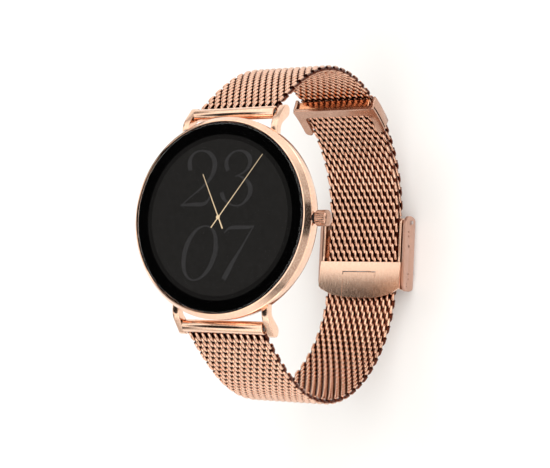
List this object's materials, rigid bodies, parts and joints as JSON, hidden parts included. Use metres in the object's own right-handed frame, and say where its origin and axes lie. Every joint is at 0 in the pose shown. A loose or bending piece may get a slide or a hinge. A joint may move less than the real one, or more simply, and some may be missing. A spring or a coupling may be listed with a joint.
{
  "type": "smartwatch",
  "caption": "Round smartwatch with a touch display, one crown and a woven metal mesh band closed by a sliding fold-over clasp.",
  "frame": {"origin": "centre of the flat outer face of the clasp cover, on which the closed watch stands", "axes": "+X towards the crown (3 o'clock), +Y towards 12 o'clock, +Z out of the display"},
  "size_m": [0.047, 0.0786, 0.08],
  "materials": {
    "rose_gold": "polished rose-gold plated steel",
    "rose_satin": "satin rose-gold plated steel",
    "mesh_rose": "woven rose-gold plated steel wire",
    "steel": "bare stainless steel",
    "black_glass": "black mineral glass and display",
    "rubber": "black seal rubber",
    "black_plastic": "black moulded plastic",
    "circuit": "green circuit board",
    "foil": "foil pouch and stamped sheet",
    "gold": "gold plated contact",
    "copper": "amber flexible circuit"
  },
  "bodies": {
    "case": {"case_middle": "rose_gold", "bezel_ring": "rose_gold", "cover_glass": "black_glass", "glass_gasket": "rubber", "display_module": "black_glass", "display_frame": "foil", "back_cover": "rose_satin", "back_gasket": "rubber", "case_screw_1": "steel", "case_screw_2": "steel", "case_screw_3": "steel", "case_screw_4": "steel", "main_board": "circuit", "display_flex": "copper", "battery": "foil", "vibration_motor": "steel", "sensor_board": "circuit", "sensor_window": "black_glass", "charging_ring_inner": "gold", "charging_ring_outer": "gold", "crown_encoder": "black_plastic", "crown_seal": "rubber", "spring_bar_12": "steel", "spring_bar_coil_12": "steel", "spring_bar_6": "steel", "spring_bar_coil_6": "steel"},
    "crown_pin": {"crown_stem": "steel"},
    "crown_knob": {"crown_head": "rose_gold"},
    "bar_tip_12_left": {"spring_bar_tip_12_left": "steel"},
    "bar_tip_12_right": {"spring_bar_tip_12_right": "steel"},
    "bar_tip_6_left": {"spring_bar_tip_6_left": "steel"},
    "bar_tip_6_right": {"spring_bar_tip_6_right": "steel"},
    "band_twelve_a": {"band_tube_12": "rose_gold", "band_twelve_4": "mesh_rose"},
    "band_twelve_b": {"band_twelve_3": "mesh_rose"},
    "band_twelve_c": {"band_twelve_2": "mesh_rose"},
    "band_twelve_d": {"band_twelve_1": "mesh_rose", "clasp_tube": "rose_gold", "clasp_pin": "steel", "hook_plate": "rose_satin"},
    "cover": {"clasp_cover": "rose_satin"},
    "band_six_a": {"band_tube_6": "rose_gold", "band_six_1": "mesh_rose"},
    "band_six_b": {"band_six_2": "mesh_rose"},
    "band_six_c": {"band_six_3": "mesh_rose"},
    "band_six_d": {"band_six_4": "mesh_rose"},
    "band_six_e": {"band_six_5": "mesh_rose"},
    "band_tail_a": {"band_six_6": "mesh_rose"},
    "band_tail_b": {"band_six_7": "mesh_rose", "tail_keeper": "rose_gold"},
    "slider": {"clasp_slider": "rose_gold", "hook_bar": "steel", "lock_lever_pin": "steel"},
    "lever": {"lock_lever": "rose_satin"}
  },
  "joints": [
    {"name": "band_twelve_lug", "type": "hinge", "parent": "case", "child": "band_twelve_a", "pos_m": [0, 0.023, 0.0746], "axis": [1, 0, 0], "range_deg": [0, 40]},
    {"name": "band_six_lug", "type": "hinge", "parent": "case", "child": "band_six_a", "pos_m": [0, -0.023, 0.0746], "axis": [-1, 0, 0], "range_deg": [0, 40]},
    {"name": "band_twelve_side_flex", "type": "hinge", "parent": "band_twelve_a", "child": "band_twelve_b", "pos_m": [0, 0.03823, 0.04675], "axis": [1, 0, 0], "range_deg": [0, 35]},
    {"name": "band_six_side_flex", "type": "hinge", "parent": "band_six_a", "child": "band_six_b", "pos_m": [0, -0.038, 0.04727], "axis": [-1, 0, 0], "range_deg": [0, 17.5]},
    {"name": "band_twelve_mid_flex", "type": "hinge", "parent": "band_twelve_b", "child": "band_twelve_c", "pos_m": [0, 0.03626, 0.02805], "axis": [1, 0, 0], "range_deg": [0, 30]},
    {"name": "band_twelve_clasp_flex", "type": "hinge", "parent": "band_twelve_c", "child": "band_twelve_d", "pos_m": [0, 0.02308, 0.01029], "axis": [1, 0, 0], "range_deg": [0, 30]},
    {"name": "band_six_mid_flex", "type": "hinge", "parent": "band_six_b", "child": "band_six_c", "pos_m": [0, -0.03563, 0.028], "axis": [1, 0, 0], "range_deg": [0, 12]},
    {"name": "band_six_lower_flex", "type": "hinge", "parent": "band_six_c", "child": "band_six_d", "pos_m": [0, -0.02596, 0.01418], "axis": [1, 0, 0], "range_deg": [0, 15]},
    {"name": "band_six_clasp_flex", "type": "hinge", "parent": "band_six_d", "child": "band_six_e", "pos_m": [0, -0.01572, 0.0081], "axis": [1, 0, 0], "range_deg": [0, 15]},
    {"name": "band_tail_root_flex", "type": "hinge", "parent": "band_six_e", "child": "band_tail_a", "pos_m": [0, 0.01331, 0.0077], "axis": [1, 0, 0], "range_deg": [0, 20]},
    {"name": "band_tail_tip_flex", "type": "hinge", "parent": "band_tail_a", "child": "band_tail_b", "pos_m": [0, 0.02351, 0.01304], "axis": [1, 0, 0], "range_deg": [0, 25]},
    {"name": "clasp_slide", "type": "slide", "parent": "band_six_e", "child": "slider", "axis": [0, 1, 0], "range_m": [-0.0018, 0.001]},
    {"name": "lock_lever_tilt", "type": "hinge", "parent": "slider", "child": "lever", "pos_m": [0, -0.0059, 0.0086], "axis": [-1, 0, 0], "range_deg": [0, 70]},
    {"name": "clasp_cover_fold", "type": "hinge", "parent": "band_twelve_d", "child": "cover", "pos_m": [0, 0.007, 0.00455], "axis": [1, 0, 0], "range_deg": [0, 95]},
    {"name": "crown_press", "type": "slide", "parent": "case", "child": "crown_pin", "axis": [-1, 0, 0], "range_m": [0, 0.00035], "stiffness_N_per_m": 800, "springref_m": -0.0012},
    {"name": "crown_turn", "type": "hinge", "parent": "crown_pin", "child": "crown_knob", "pos_m": [0.0237, 0, 0.0769], "axis": [1, 0, 0], "continuous": true},
    {"name": "spring_bar_press_12_left", "type": "slide", "parent": "case", "child": "bar_tip_12_left", "axis": [1, 0, 0], "range_m": [0, 0.0011], "stiffness_N_per_m": 600, "springref_m": -0.0015},
    {"name": "spring_bar_press_12_right", "type": "slide", "parent": "case", "child": "bar_tip_12_right", "axis": [-1, 0, 0], "range_m": [0, 0.0011], "stiffness_N_per_m": 600, "springref_m": -0.0015},
    {"name": "spring_bar_press_6_left", "type": "slide", "parent": "case", "child": "bar_tip_6_left", "axis": [1, 0, 0], "range_m": [0, 0.0011], "stiffness_N_per_m": 600, "springref_m": -0.0015},
    {"name": "spring_bar_press_6_right", "type": "slide", "parent": "case", "child": "bar_tip_6_right", "axis": [-1, 0, 0], "range_m": [0, 0.0011], "stiffness_N_per_m": 600, "springref_m": -0.0015}
  ],
  "couplings": [
    {"joint": "band_six_lug", "follows": "band_twelve_lug", "ratio": 1},
    {"joint": "band_six_side_flex", "follows": "band_twelve_side_flex", "ratio": 0.5}
  ]
}
